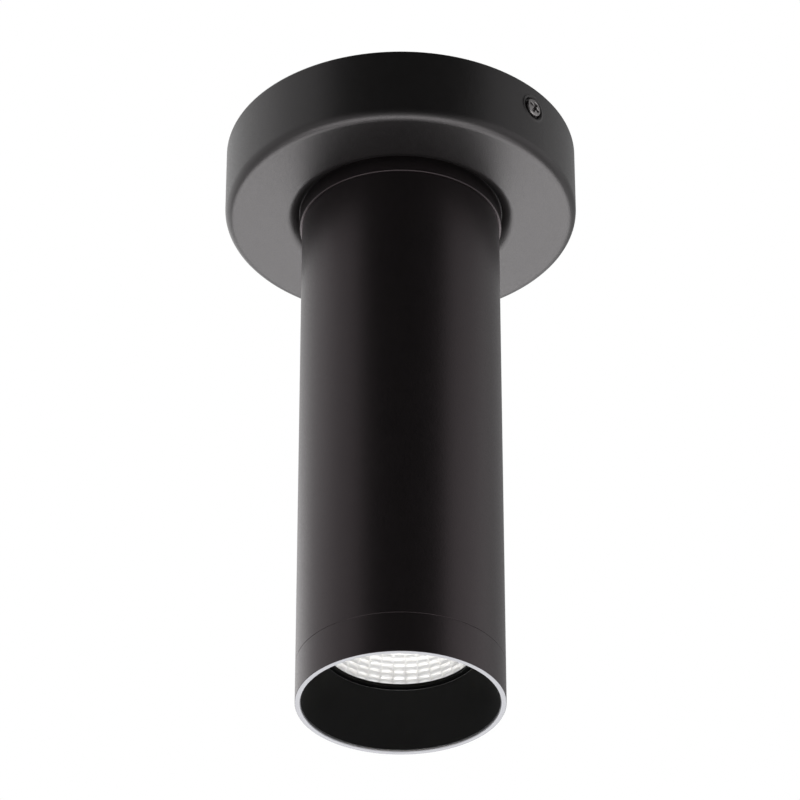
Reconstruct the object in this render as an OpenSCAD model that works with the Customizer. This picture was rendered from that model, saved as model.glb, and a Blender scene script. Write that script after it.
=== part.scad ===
// Surface-mounted cylinder downlight: a shallow ceiling cup, a slim black tube and a screwed front ring.
// The origin is on the lamp's axis in the ceiling plane, +Z points into the ceiling, and the lamp hangs
// below it. Depths are measured downwards from the ceiling.

/* [Ceiling cup] */
// Outer diameter of the ceiling cup
canopy_d = 107; // [104:1:150]
// Depth of the ceiling cup, from the ceiling to its flat underside
canopy_h = 24; // [23:1:40]
// Sheet thickness of the ceiling cup
canopy_wall = 1.5; // [1:0.1:2]
// Outer radius of the bend between the cup's wall and its underside
canopy_bend_r = 3; // [2.1:0.1:4]
// Depth of the seat pressed into the cup's underside for the cap
seat_depth = 2.5; // [1:0.1:3]
// Gap round the cap's flange on that seat
seat_gap = 0.8; // [0.3:0.1:1.5]
// Width of the seat's sloped edge
seat_slope_w = 3; // [2:0.1:4]
// Distance of the two side screws below the ceiling
side_screw_drop = 7.75; // [6.5:0.25:10]
// Diameter of the dimple pressed in for each side screw
dimple_d = 7.6; // [6.6:0.1:9]
// Depth of that dimple
dimple_depth = 0.9; // [0.8:0.1:1.1]

/* [Mounting bracket] */
// Sheet thickness of the steel bracket
bracket_t = 2; // [1.5:0.1:2.2]
// Width of the bracket's strap and ears
strap_w = 16; // [12:0.5:16]
// Length of each ear, down from the ceiling
ear_h = 14; // [12:0.5:18]
// Distance between the two ceiling slots
slot_spacing = 54; // [52:1:62]
// Width of each ceiling slot
slot_w = 4.5; // [4:0.1:5.5]
// Overall length of each ceiling slot
slot_l = 12; // [8:0.5:13]
// Diameter of the bracket's round middle
hub_d = 32; // [26:1:34]
// Diameter of the hole where the supply cable comes in
cable_hole_d = 12; // [9:0.5:14]
// Distance of the earth screw from the middle
earth_screw_x = 12; // [11.5:0.5:12.5]

/* [Terminal block] */
// Number of poles
poles = 3; // [2:1:3]
// Width of one pole
pole_w = 9; // [8:0.5:10]
// Depth of the block, along the wires
block_depth = 16; // [14:0.5:18]
// Height of the block
block_h = 13; // [10:0.5:14]
// Distance of the block's near face from the lamp's axis
block_y = 18; // [17.5:0.5:22]

/* [Top cap and hollow screw] */
// How far the cap's flange stands proud of the tube
flange_over = 0.7; // [0.2:0.1:2]
// Thickness of that flange
flange_t = 5.6; // [4:0.1:7]
// Thickness of the cap's plate
cap_plate_t = 7.5; // [6:0.5:8]
// Length of the cap's spigot inside the tube
spigot_len = 10; // [6:0.5:15]
// Wall of the cap's spigot
spigot_wall = 3; // [2:0.5:3.2]
// Thread diameter of the hollow screw that joins the cup and the cap
nipple_d = 10; // [9:0.5:12]
// Bore of the hollow screw
nipple_bore_d = 7.4; // [6:0.1:7.6]
// How far the hollow screw stands up into the cup
nipple_above = 6.5; // [6:0.5:10]
// Thickness of its hexagonal nut
nut_h = 3; // [2:0.5:4]
// Width of that nut across its flats
nut_af = 14; // [14:0.5:17]
// Thickness of the toothed lock washer
washer_t = 0.8; // [0.5:0.1:1.2]

/* [Tube] */
// Outer diameter of the tube
tube_d = 60; // [60:0.5:75]
// Wall of the tube
tube_wall = 2; // [1.5:0.1:2.2]
// Length of the tube, from the flange to the seam of the front ring
tube_len = 152.4; // [150:0.2:220]

/* [Front ring and baffle] */
// Height of the front ring that shows below the seam
ring_h = 12.5; // [11:0.5:16]
// Wall of the front ring at its mouth
ring_wall = 1.6; // [1.3:0.1:2]
// Bright chamfer inside the mouth
lip_chamfer = 0.6; // [0.3:0.1:0.9]
// Length of the ring's threaded spigot
ring_spigot = 8; // [7:0.5:9]
// Wall of that spigot
ring_spigot_wall = 1.6; // [1.2:0.1:1.8]
// Thickness of the ring's inner shoulder
shoulder_t = 2.5; // [1.5:0.5:4]
// Height of the black cone, from the mouth's chamfer to its throat
baffle_h = 17.2; // [14:0.2:17.6]
// How far the throat's edge stands back from the reflector's opening, which leaves a narrow ledge
throat_step = 0.7; // [0.2:0.1:0.8]
// Wall of the baffle
baffle_t = 1; // [0.8:0.1:1]

/* [Optic] */
// Height of the black ring that the reflector stands on
retainer_h = 1; // [0.8:0.1:2.5]
// Height of the reflector
reflector_h = 28.5; // [24:0.5:30]
// Width of the flat ledge round the reflector's opening
ledge_w = 4.2; // [4.2:0.1:7]
// Opening of the reflector at the light source
reflector_entry_d = 16; // [15.6:0.2:18]
// Wall of the reflector
reflector_t = 0.8; // [0.6:0.1:1]
// Facets round the reflector
facets_round = 36; // [24:2:48]
// Rows of facets
facet_rows = 11; // [6:1:14]

/* [Light source] */
// Side of the square light-source board
led_board_w = 19; // [17:0.5:20]
// Thickness of that board
led_board_t = 1.5; // [1:0.1:1.8]
// Diameter of the yellow emitting disc
emitter_d = 14.5; // [9:0.5:15]
// Thickness of the emitting disc
emitter_t = 0.6; // [0.4:0.1:0.9]
// Thickness of the heat-conducting pad
pad_t = 0.5; // [0.3:0.1:1]
// Room between the plastic holder's edge and the middle of the wire slot beside it
holder_room = 4.2; // [4:0.1:5]
// Thickness of the holder
holder_t = 4.5; // [4.3:0.1:5]
// Distance of the holder's two screws from its edge
holder_screw_inset = 3.6; // [3.3:0.1:3.8]

/* [Heat sink] */
// Thickness of the heat sink's base
sink_base_t = 6; // [5:0.5:8]
// Height of its fins
fin_h = 24; // [14:1:26]
// Thickness of one fin
fin_t = 1.4; // [1:0.1:2]
// Distance from one fin to the next
fin_pitch = 6; // [5.8:0.1:6.5]
// Gap between the heat sink and the tube
sink_gap = 0.3; // [0.2:0.1:0.6]

// Distance of the wire slot from the tube's bore
slot_inset = 3.8; // [3.5:0.1:4]

/* [Driver and its frame] */
// Distance of the two spacer rods from the tube's bore
rod_inset = 7; // [6.8:0.1:7.4]
// Diameter of a spacer rod
rod_d = 5; // [4.5:0.1:5.5]
// Thickness of the driver's sheet bracket
tray_t = 1.2; // [1:0.1:1.5]
// Width of the driver case, from its back to its lid
case_x = 36; // [34:0.5:37]
// Breadth of the driver case
case_y = 30; // [28:0.5:32]
// Length of the driver case along the tube
case_len = 66; // [64:1:68]
// Wall of the driver case
case_wall = 1.5; // [1.2:0.1:2]
// Distance of the driver case below the cap's plate
case_drop = 9; // [7:0.5:10]
// Thickness of the circuit board
board_t = 1.6; // [1:0.1:2]

/* [Screws and wires] */
// Thread diameter of the small screws
screw_d = 3; // [2.5:0.1:3.2]
// Head diameter of the small screws
head_d = 5.6; // [5.2:0.1:6]
// Head height of the pan-head screws
head_h = 1.8; // [1.2:0.1:2.2]
// Length of the cup's two side screws
side_screw_l = 7; // [6:0.5:9]
// Diameter of a supply wire with its insulation
supply_wire_d = 2.2; // [1.6:0.1:2.2]
// Diameter of a light-source wire with its insulation
led_wire_d = 1.6; // [1.2:0.1:1.6]

/* [Hidden] */

$fn = 96;

// Clearances and small fits
thread_fit = 0.05;   // radial gap of every screwed fit
hole_fit = 0.2;      // radial gap round a screw that passes through
slip_fit = 0.1;      // radial gap of a pushed-in part
free_gap = 0.35;     // gap between parts that turn past each other
cut = 1;             // how far a cut runs past the face it opens

// Depths of the main planes below the ceiling
canopy_floor = canopy_h - canopy_wall;
seat_floor = canopy_floor - seat_depth;
cap_face = canopy_h - seat_depth;
flange_bottom = cap_face + flange_t;
plate_bottom = cap_face + cap_plate_t;
seam = flange_bottom + tube_len;
mouth = seam + ring_h;
throat = mouth - lip_chamfer - baffle_h;
reflector_exit = throat - retainer_h;
reflector_entry = reflector_exit - reflector_h;
source_gap = 0.3;
emitter_face = reflector_entry - source_gap;
sink_face = emitter_face - emitter_t - led_board_t - pad_t;
base_top = sink_face - sink_base_t;
fins_top = base_top - fin_h;
tray_bottom = plate_bottom + tray_t;
case_top = plate_bottom + case_drop;
case_bottom = case_top + case_len;

// Radii that several parts share
canopy_r = canopy_d / 2;
tube_r = tube_d / 2;
flange_r = tube_r + flange_over;
seat_r = flange_r + seat_gap;
bore_r = tube_r - tube_wall;
spigot_r = bore_r - thread_fit;
spigot_inner_r = spigot_r - spigot_wall;
ring_spigot_inner_r = spigot_r - ring_spigot_wall;
ring_bore_r = tube_r - ring_wall;
optic_r = ring_spigot_inner_r - free_gap;
sink_r = bore_r - sink_gap;
entry_r = reflector_entry_d / 2;
exit_r = optic_r - ledge_w;
throat_r = exit_r + throat_step;
rod_y = bore_r - rod_inset;
sink_wire_x = bore_r - slot_inset;
holder_r = sink_wire_x - holder_room;
holder_screw_r = holder_r - holder_screw_inset;

// Bracket
ear_face = canopy_r - dimple_depth - canopy_wall;
ear_boss_d = 6;
ear_boss_l = 1.2;
bend_inner_r = 1;
tab_margin = 2.5;
block_len = poles * pole_w;
block_top = bracket_t;
tab_w = block_len + 2 * tab_margin;
tab_y = block_y + block_depth + tab_margin;
earth_screw_d = 4;
earth_head_d = 7;
earth_head_h = 2.2;
earth_washer_d = 9;
earth_washer_t = 0.8;
earth_wire_x = -(earth_screw_x + earth_head_d / 2 + supply_wire_d / 2 + 0.2);

// Terminal block
block_bore_d = 4.4;
block_screw_bore_d = 4;
block_fix_bore_d = screw_d + 2 * hole_fit;
block_gap = 0.8;
clamp_screw_d = 3.6;
clamp_screw_l = 5;
clamp_slot_w = 0.6;
clamp_slot_depth = 0.8;
clamp_inset = block_depth / 4;
block_fix_depth = block_top + block_h - 3;

// Hollow screw
washer_d = 18;
washer_teeth = 16;
washer_notch_w = 1.2;
washer_notch_depth = 1.6;
bush_h = 3;
bush_flange_h = 1;
bush_flange_over = 1;
bush_wall = 0.5;
nipple_top = seat_floor - nipple_above;
nipple_bottom = plate_bottom;

// Driver
leg_w = 14;
leg_short = 12;
leg_len = case_drop + case_len - leg_short;
tray_disc_r = spigot_inner_r - free_gap;
tray_wire_hole_d = 12;
case_back = -case_x / 2;
case_front = case_x / 2 - case_wall;
post_d = 6;
post_h = 4;
board_margin = 2;
board_screw_d = 2.4;
board_screw_head_d = 4.2;
board_screw_head_h = 1.4;
board_screw_l = 4;
board_back = case_back + case_wall + post_h;
board_face = board_back + board_t;
board_top = case_top + case_wall + board_margin;
board_bottom = case_bottom - case_wall - board_margin;
board_half_y = case_y / 2 - case_wall - 0.5;
post_inset = 3.4;
post_y = board_half_y - post_inset;
post_depths = [board_top + post_inset, board_bottom - post_inset];
driver_screw_inset = 16;
driver_screw_depths = [case_top + driver_screw_inset, case_bottom - driver_screw_inset];
driver_boss_d = 6.4;
driver_boss_h = 3;
driver_screw_l = 4;
wire_slot_x = 10;
wire_slot_y = 6;
vent_w = 2;
vent_l = 18;
vent_pitch = 4.8;
lid_lip = 2;
lid_lip_t = 1;
lid_lip_y = case_y / 2 - case_wall - slip_fit - lid_lip_t / 2;
lid_lip_bottom = case_bottom - case_wall - lid_lip;

// Pieces on the driver's board
terminal_x = 8;
terminal_face = board_face + terminal_x;
terminal_y = 11;
terminal_len = 8;
terminal_bore_l = 2.2;
terminal_pole_y = 2.6;
terminal_margin = 1;
input_depth = board_top + terminal_margin + terminal_len / 2;
output_depth = board_bottom - terminal_margin - terminal_len / 2;
board_mid = (board_top + board_bottom) / 2;
core_w = 16;
core_h = 13;
yoke_t = 3.5;
yoke_over = 2;
core_top = board_mid - core_w / 2 - yoke_t;
capacitor_depth = (input_depth + terminal_len / 2 + core_top) / 2;
capacitor_gap = 0.5;
capacitor_r = core_top - capacitor_depth - capacitor_gap;
capacitor_l = 16;

// Light source
holder_pocket_gap = 0.3;
holder_cone_r = entry_r + reflector_t + 3;
holder_mouth_r = entry_r + reflector_t + 0.7;
holder_floor_t = pad_t + led_board_t;
holder_screw_l = 8;
sink_wire_gap = 0.3;
led_wire_y = led_wire_d / 2 + 0.15;
led_port_depth = sink_face + holder_t / 2;
wire_lead = 5;

// Countersunk rod screws
rod_screw_l = 9;
csk_h = 1.7;

// Drilled holes for threads
tap_r = screw_d / 2 + thread_fit;
clear_r = screw_d / 2 + hole_fit;

// A solid disc between two depths
module disc(r, top, bottom) {
    translate([0, 0, -bottom]) cylinder(r = r, h = bottom - top);
}

// A ring between two depths
module ring(outer, inner, top, bottom) {
    difference() {
        disc(outer, top, bottom);
        disc(inner, top - cut, bottom + cut);
    }
}

// A box between two depths, centred on x and y
module block(x, y, top, bottom) {
    translate([-x / 2, -y / 2, -bottom]) cube([x, y, bottom - top]);
}

// A slot through a plate, along X, between two depths
module slot(length, width, top, bottom) {
    block(length - width, width, top, bottom);
    for (side = [-1, 1])
        translate([side * (length - width) / 2, 0, 0]) disc(width / 2, top, bottom);
}

// A body of revolution from [radius, depth] points
module turned(points) {
    rotate_extrude() polygon([for (p = points) [p[0], -p[1]]]);
}

// A cross-shaped driver recess, cut down from z = 0
module cross_recess(span, depth) {
    width = span / 4.2;
    for (turn = [0, 90]) rotate([0, 0, turn])
        translate([-span / 2, -width / 2, -depth]) cube([span, width, depth + cut]);
    translate([0, 0, -depth]) cylinder(r1 = width / 2, r2 = width, h = depth + 0.01);
}

// A pan-head screw: its head stands on z = 0 and its thread runs down from there
module pan_screw(thread, length, head, height) {
    rise = height * 0.35;
    dome_r = (head * head / 4 + rise * rise) / (2 * rise);
    difference() {
        union() {
            translate([0, 0, -length]) cylinder(d = thread, h = length);
            intersection() {
                cylinder(d = head, h = height);
                translate([0, 0, height - dome_r]) sphere(r = dome_r);
            }
        }
        translate([0, 0, height]) cross_recess(head * 0.62, height * 0.55);
    }
}

// A countersunk screw: its head is flush with z = 0
module flat_screw(thread, length, head, height) {
    difference() {
        union() {
            translate([0, 0, -length]) cylinder(d = thread, h = length);
            translate([0, 0, -height]) cylinder(d1 = thread, d2 = head, h = height);
        }
        cross_recess(head * 0.5, height * 0.6);
    }
}

// The seat that a countersunk head sinks into, with its through hole
module flat_screw_seat(thread, length, head, height) {
    translate([0, 0, -length - cut]) cylinder(r = thread / 2 + thread_fit, h = length + 2 * cut);
    translate([0, 0, -height - thread_fit])
        cylinder(d1 = thread, d2 = head + 2 * thread_fit, h = height + thread_fit);
    cylinder(d = head + 2 * thread_fit, h = cut);
}

// Turns a piece built along Z so that its top faces along +X
module facing_x() {
    rotate([0, 90, 0]) children();
}

// Smooth curve through hand-placed points
function curve_point(a, b, c, d, t) =
    0.5 * (2 * b + (c - a) * t + (2 * a - 5 * b + 4 * c - d) * t * t + (3 * b - a - 3 * c + d) * t * t * t);
function smooth(points, steps) =
    let (last = len(points) - 1)
    concat([for (i = [0 : last - 1], s = [0 : steps - 1])
        curve_point(points[max(i - 1, 0)], points[i], points[i + 1], points[min(i + 2, last)], s / steps)],
        [points[last]]);
function unit(v) = v / norm(v);
function directions(points) =
    [for (i = [0 : len(points) - 1]) unit(points[min(i + 1, len(points) - 1)] - points[max(i - 1, 0)])];
function carried(along, i, side) =
    i == len(along) ? [] :
    let (next = unit(side - (side * along[i]) * along[i]))
    concat([next], carried(along, i + 1, next));

// A wire swept along a smooth curve through the route's points
module wire(route, diameter, first_side) {
    sides = 8;
    points = smooth(route, 4);
    along = directions(points);
    normals = carried(along, 0, first_side);
    last = len(points) - 1;
    skin = [for (i = [0 : last], k = [0 : sides - 1])
        points[i] + diameter / 2 * (cos(360 * k / sides) * normals[i]
                                    + sin(360 * k / sides) * cross(along[i], normals[i]))];
    walls = [for (i = [0 : last - 1], k = [0 : sides - 1], half = [0, 1])
        let (a = i * sides + k, b = i * sides + (k + 1) % sides)
        half == 0 ? [a, a + sides, b + sides] : [a, b + sides, b]];
    first_cap = [for (k = [1 : sides - 2]) [0, k, k + 1]];
    last_cap = [for (k = [1 : sides - 2]) [last * sides, last * sides + k + 1, last * sides + k]];
    polyhedron(skin, concat(walls, first_cap, last_cap));
}

// A faceted ring: a closed outline of [radius, depth] points carried round in flat steps
module faceted_ring(outline, steps) {
    count = len(outline);
    skin = [for (k = [0 : steps - 1], p = outline)
        [p[0] * cos(360 * k / steps), p[0] * sin(360 * k / steps), -p[1]]];
    faces = [for (k = [0 : steps - 1], i = [0 : count - 1], half = [0, 1])
        let (a = k * count + i,
             b = k * count + (i + 1) % count,
             c = ((k + 1) % steps) * count + i,
             d = ((k + 1) % steps) * count + (i + 1) % count)
        half == 0 ? [a, c, d] : [a, d, b]];
    polyhedron(skin, faces);
}

module bracket_profile() {
    bend_outer_r = bend_inner_r + bracket_t;
    for (side = [0, 1]) mirror([side, 0]) {
        translate([0, -bracket_t]) square([ear_face - bend_outer_r, bracket_t]);
        translate([ear_face - bracket_t, -ear_h]) square([bracket_t, ear_h - bend_outer_r]);
        intersection() {
            translate([ear_face - bend_outer_r, -bend_outer_r]) difference() {
                circle(r = bend_outer_r);
                circle(r = bend_inner_r);
            }
            translate([ear_face - bend_outer_r, -bend_outer_r]) square(bend_outer_r);
        }
    }
}

module mounting_bracket() color("silver") difference() {
    union() {
        rotate([90, 0, 0]) translate([0, 0, -strap_w / 2])
            linear_extrude(strap_w) bracket_profile();
        disc(hub_d / 2, 0, bracket_t);
        translate([-tab_w / 2, 0, -bracket_t]) cube([tab_w, tab_y, bracket_t]);
        for (side = [0, 180]) rotate([0, 0, side])
            translate([ear_face - bracket_t, 0, -side_screw_drop]) facing_x()
                translate([0, 0, -ear_boss_l]) cylinder(d = ear_boss_d, h = ear_boss_l);
    }
    disc(cable_hole_d / 2, -cut, bracket_t + cut);
    for (side = [-1, 1])
        translate([side * slot_spacing / 2, 0, 0]) slot(slot_l, slot_w, -cut, bracket_t + cut);
    for (side = [0, 180]) rotate([0, 0, side])
        translate([ear_face + cut, 0, -side_screw_drop]) facing_x()
            translate([0, 0, -bracket_t - ear_boss_l - 2 * cut])
                cylinder(r = tap_r, h = bracket_t + ear_boss_l + 3 * cut);
    translate([-earth_screw_x, 0, 0])
        disc(earth_screw_d / 2 + thread_fit, -cut, bracket_t + cut);
    translate([pole_w / 2, block_y + block_depth / 2, 0]) disc(tap_r, -cut, bracket_t + cut);
}

module canopy() color("dimgray") difference() {
    union() {
        turned_cup();
        for (side = [0, 180]) rotate([0, 0, side])
            translate([ear_face, 0, -side_screw_drop]) facing_x()
                cylinder(d = dimple_d + 2 * canopy_wall, h = dimple_depth + canopy_wall / 2);
    }
    for (side = [0, 180]) rotate([0, 0, side])
        translate([canopy_r - dimple_depth, 0, -side_screw_drop]) facing_x() {
            cylinder(d = dimple_d, h = dimple_depth + cut);
            translate([0, 0, -canopy_wall - cut]) cylinder(r = clear_r, h = canopy_wall + 2 * cut);
        }
    disc(nipple_d / 2 + hole_fit, seat_floor - cut, canopy_h + cut);
}

module turned_cup() {
    inner_r = canopy_r - canopy_wall;
    inner_bend = canopy_bend_r - canopy_wall;
    difference() {
        union() {
            difference() {
                bent_disc(canopy_r, canopy_h, canopy_bend_r, 0);
                bent_disc(inner_r, canopy_floor, inner_bend, -cut);
            }
            pressed_seat(seat_floor, canopy_floor, canopy_floor + canopy_wall / 2);
        }
        pressed_seat(cap_face, canopy_h, canopy_h + cut);
    }
}

// The seat's shape, flat at the top and sloping out to an edge, carried on down to a bottom depth
module pressed_seat(top, edge, bottom)
    turned([[0, top], [seat_r, top], [seat_r + seat_slope_w, edge], [seat_r + seat_slope_w, bottom], [0, bottom]]);

// A disc from a top depth to a bottom depth, with its lower edge rounded
module bent_disc(r, bottom, bend, top) {
    disc(r, top, bottom - bend);
    disc(r - bend, bottom - bend, bottom);
    rotate_extrude() translate([r - bend, -(bottom - bend)]) intersection() {
        circle(r = bend);
        translate([0, -bend]) square(bend);
    }
}

module canopy_screws() color("gray")
    for (side = [0, 180]) rotate([0, 0, side])
        translate([canopy_r - dimple_depth, 0, -side_screw_drop]) facing_x()
            rotate([0, 0, 25]) pan_screw(screw_d, side_screw_l, head_d, head_h);

function pole_x(i) = (i - (poles - 1) / 2) * pole_w;

module terminal_block() color("ivory") translate([0, block_y + block_depth / 2, 0]) difference() {
    union() {
        for (i = [0 : poles - 1]) translate([pole_x(i), 0, 0])
            block(pole_w - block_gap, block_depth, block_top, block_top + block_h);
        block(block_len - block_gap, block_depth / 2, block_top, block_top + block_h - 2);
    }
    for (i = [0 : poles - 1]) translate([pole_x(i), 0, 0]) {
        translate([0, 0, -block_top - block_h / 2]) rotate([90, 0, 0])
            cylinder(d = block_bore_d, h = block_depth + 2 * cut, center = true);
        for (end = [-1, 1]) translate([0, end * clamp_inset, 0])
            disc(block_screw_bore_d / 2, block_top + block_h / 2, block_top + block_h + cut);
    }
    translate([pole_w / 2, 0, 0]) {
        disc(block_fix_bore_d / 2, 0, block_top + block_h + cut);
        disc(head_d / 2 + hole_fit, block_fix_depth, block_top + block_h + cut);
    }
}

module terminal_screws() color("lightgray") translate([0, block_y + block_depth / 2, 0])
    for (i = [0 : poles - 1], end = [-1, 1])
        translate([pole_x(i), end * clamp_inset, 0]) difference() {
            disc(clamp_screw_d / 2, block_top + block_h - clamp_screw_l, block_top + block_h);
            block(clamp_screw_d + cut, clamp_slot_w, block_top + block_h - clamp_slot_depth,
                  block_top + block_h + cut);
        }

module terminal_block_screw() color("silver")
    translate([pole_w / 2, block_y + block_depth / 2, -block_fix_depth]) mirror([0, 0, 1])
        pan_screw(screw_d, block_fix_depth, head_d, head_h);

module earth_screw() color("gold")
    translate([-earth_screw_x, 0, -(bracket_t + earth_washer_t)]) mirror([0, 0, 1])
        pan_screw(earth_screw_d, bracket_t + earth_washer_t, earth_head_d, earth_head_h);

module earth_washer() color("gold") translate([-earth_screw_x, 0, 0])
    ring(earth_washer_d / 2, earth_screw_d / 2 + hole_fit, bracket_t, bracket_t + earth_washer_t);

module nipple() color("goldenrod")
    ring(nipple_d / 2, nipple_bore_d / 2, nipple_top, nipple_bottom);

module nipple_nut() color("goldenrod") difference() {
    translate([0, 0, -(seat_floor - washer_t)])
        cylinder(d = nut_af / cos(30), h = nut_h, $fn = 6);
    disc(nipple_d / 2 + thread_fit, seat_floor - washer_t - nut_h - cut, seat_floor);
}

module lock_washer() color("silver") difference() {
    ring(washer_d / 2, nipple_d / 2 + hole_fit, seat_floor - washer_t, seat_floor);
    for (i = [0 : washer_teeth - 1]) rotate([0, 0, 360 * i / washer_teeth])
        translate([washer_d / 2, 0, 0])
            block(2 * washer_notch_depth, washer_notch_w, seat_floor - washer_t - cut, seat_floor + cut);
}

module nipple_bush() color("white") {
    bore = nipple_bore_d / 2 - slip_fit - bush_wall;
    ring(nipple_bore_d / 2 - slip_fit, bore, nipple_top - 0.01, nipple_top + bush_h);
    ring(nipple_d / 2 + bush_flange_over, bore, nipple_top - bush_flange_h, nipple_top);
}

module top_cap() color("#1c1c1c") difference() {
    turned([[0, cap_face], [flange_r, cap_face], [flange_r, flange_bottom],
            [spigot_r, flange_bottom], [spigot_r, flange_bottom + spigot_len],
            [spigot_inner_r, flange_bottom + spigot_len], [spigot_inner_r, plate_bottom], [0, plate_bottom]]);
    disc(nipple_d / 2 + thread_fit, cap_face - cut, plate_bottom + cut);
    for (side = [-1, 1]) translate([0, side * rod_y, -cap_face])
        flat_screw_seat(screw_d, cap_plate_t, head_d, csk_h);
}

module tube() color("#1a1a1a") ring(tube_r, bore_r, flange_bottom, seam);

module driver_bracket() color("silver") difference() {
    union() {
        intersection() {
            disc(tray_disc_r, plate_bottom, tray_bottom);
            translate([case_back - tray_t, -tray_disc_r, -tray_bottom])
                cube([case_x, 2 * tray_disc_r, tray_t]);
        }
        translate([case_back - tray_t, -leg_w / 2, -(plate_bottom + leg_len)])
            cube([tray_t, leg_w, leg_len]);
    }
    disc(tray_wire_hole_d / 2, plate_bottom - cut, tray_bottom + cut);
    for (side = [-1, 1]) translate([0, side * rod_y, 0])
        disc(clear_r, plate_bottom - cut, tray_bottom + cut);
    for (depth = driver_screw_depths) translate([case_back, 0, -depth]) facing_x()
        translate([0, 0, -tray_t - cut]) cylinder(r = clear_r, h = tray_t + 2 * cut);
}

module spacer_rods() color("silver") for (side = [-1, 1]) translate([0, side * rod_y, 0])
    difference() {
        disc(rod_d / 2, tray_bottom, base_top);
        disc(tap_r, tray_bottom - cut, tray_bottom + rod_screw_l);
        disc(tap_r, base_top - rod_screw_l, base_top + cut);
    }

module rod_top_screws() color("gray") for (side = [-1, 1]) translate([0, side * rod_y, -cap_face])
    flat_screw(screw_d, cap_plate_t + tray_t + rod_screw_l - 2, head_d, csk_h);

module rod_bottom_screws() color("gray") for (side = [-1, 1])
    translate([0, side * rod_y, -sink_face]) mirror([0, 0, 1])
        flat_screw(screw_d, sink_base_t + rod_screw_l - 2, head_d, csk_h);

module driver_case() color("whitesmoke") difference() {
    union() {
        difference() {
            translate([case_back, -case_y / 2, -case_bottom])
                cube([case_front - case_back, case_y, case_len]);
            translate([case_back + case_wall, -case_y / 2 + case_wall, -case_bottom + case_wall])
                cube([case_x, case_y - 2 * case_wall, case_len - 2 * case_wall]);
        }
        for (depth = post_depths, side = [-1, 1])
            translate([case_back + case_wall, side * post_y, -depth]) facing_x()
                cylinder(d = post_d, h = post_h);
        for (depth = driver_screw_depths)
            translate([case_back + case_wall, 0, -depth]) facing_x()
                cylinder(d = driver_boss_d, h = driver_boss_h);
    }
    for (depth = post_depths, side = [-1, 1])
        translate([board_back, side * post_y, -depth]) facing_x()
            translate([0, 0, -post_h]) cylinder(r = board_screw_d / 2 + thread_fit, h = post_h + cut);
    for (depth = driver_screw_depths)
        translate([case_back - cut, 0, -depth]) facing_x()
            cylinder(r = tap_r, h = case_wall + driver_boss_h + 2 * cut);
    for (depth = [case_top, case_bottom])
        block(wire_slot_x, wire_slot_y, depth - case_wall - cut, depth + case_wall + cut);
}

module driver_lid() color("whitesmoke") difference() {
    union() {
        translate([case_front, -case_y / 2, -case_bottom]) cube([case_wall, case_y, case_len]);
        for (side = [-1, 1])
            translate([case_front - lid_lip, side * lid_lip_y - lid_lip_t / 2, -lid_lip_bottom])
                cube([lid_lip + case_wall / 2, lid_lip_t, lid_lip_bottom - case_top - case_wall - lid_lip]);
    }
    for (row = [-2 : 2])
        translate([case_front - cut, row * vent_pitch - vent_w / 2, -(case_top + case_bottom + vent_l) / 2])
            cube([case_wall + 2 * cut, vent_w, vent_l]);
}

module driver_screws() color("gray") for (depth = driver_screw_depths)
    translate([case_back - tray_t, 0, -depth]) rotate([0, -90, 0])
        pan_screw(screw_d, tray_t + driver_screw_l, head_d, head_h);

module driver_board() color("seagreen") difference() {
    translate([board_back, -board_half_y, -board_bottom])
        cube([board_t, 2 * board_half_y, board_bottom - board_top]);
    for (depth = post_depths, side = [-1, 1])
        translate([board_back - cut, side * post_y, -depth]) facing_x()
            cylinder(r = board_screw_d / 2 + hole_fit, h = board_t + 2 * cut);
}

module board_screws() color("gray") for (depth = post_depths, side = [-1, 1])
    translate([board_face, side * post_y, -depth]) facing_x()
        pan_screw(board_screw_d, board_screw_l, board_screw_head_d, board_screw_head_h);

module driver_transformer() color("gold") {
    translate([board_face, -core_w / 2, -(board_mid + core_w / 2)]) cube([core_h, core_w, core_w]);
    for (end = [-1, 1])
        translate([board_face, 0, -(board_mid + end * (core_w + yoke_t) / 2)])
            translate([0, -core_w / 2 - yoke_over, -yoke_t / 2])
                cube([core_h - yoke_over, core_w + 2 * yoke_over, yoke_t]);
}

module driver_capacitors() color("midnightblue") for (side = [-1, 1])
    translate([board_face, side * (capacitor_r + capacitor_gap), -capacitor_depth]) facing_x()
        cylinder(r = capacitor_r, h = capacitor_l);

module driver_terminals() color("ivory") for (middle = [input_depth, output_depth])
    translate([board_face, -terminal_y / 2, -(middle + terminal_len / 2)]) difference() {
        cube([terminal_x, terminal_y, terminal_len]);
        for (side = [-1, 1])
            translate([terminal_x - terminal_bore_l, terminal_y / 2 + side * terminal_pole_y, 0])
                translate([0, 0, terminal_len / 2]) facing_x()
                    cylinder(d = supply_wire_d + 2 * hole_fit, h = terminal_bore_l + cut);
    }

module heat_sink() color("silver") difference() {
    union() {
        disc(sink_r, base_top, sink_face);
        intersection() {
            disc(sink_r, fins_top, sink_face);
            for (i = [0 : fins_each_side - 1], side = [-1, 1])
                translate([0, side * (i + 0.5) * fin_pitch, 0])
                    block(2 * sink_r, fin_t, fins_top, base_top + cut);
        }
    }
    for (side = [-1, 1]) translate([0, side * rod_y, 0]) {
        disc(rod_d / 2 + 0.5, fins_top - cut, base_top);
        translate([0, 0, -sink_face]) mirror([0, 0, 1])
            flat_screw_seat(screw_d, sink_base_t, head_d, csk_h);
    }
    for (side = [-1, 1]) translate([side * holder_screw_r, 0, 0])
        disc(tap_r, sink_face - holder_screw_l, sink_face + cut);
    translate([sink_wire_x, 0, 0]) rotate([0, 0, 90])
        slot(2 * (led_wire_y + led_wire_d / 2 + sink_wire_gap), led_wire_d + 2 * sink_wire_gap,
             base_top - cut, sink_face + cut);
}

fins_each_side = floor((sink_r - fin_t) / fin_pitch);

module thermal_pad() color("lightblue")
    block(led_board_w, led_board_w, sink_face, sink_face + pad_t);

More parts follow.
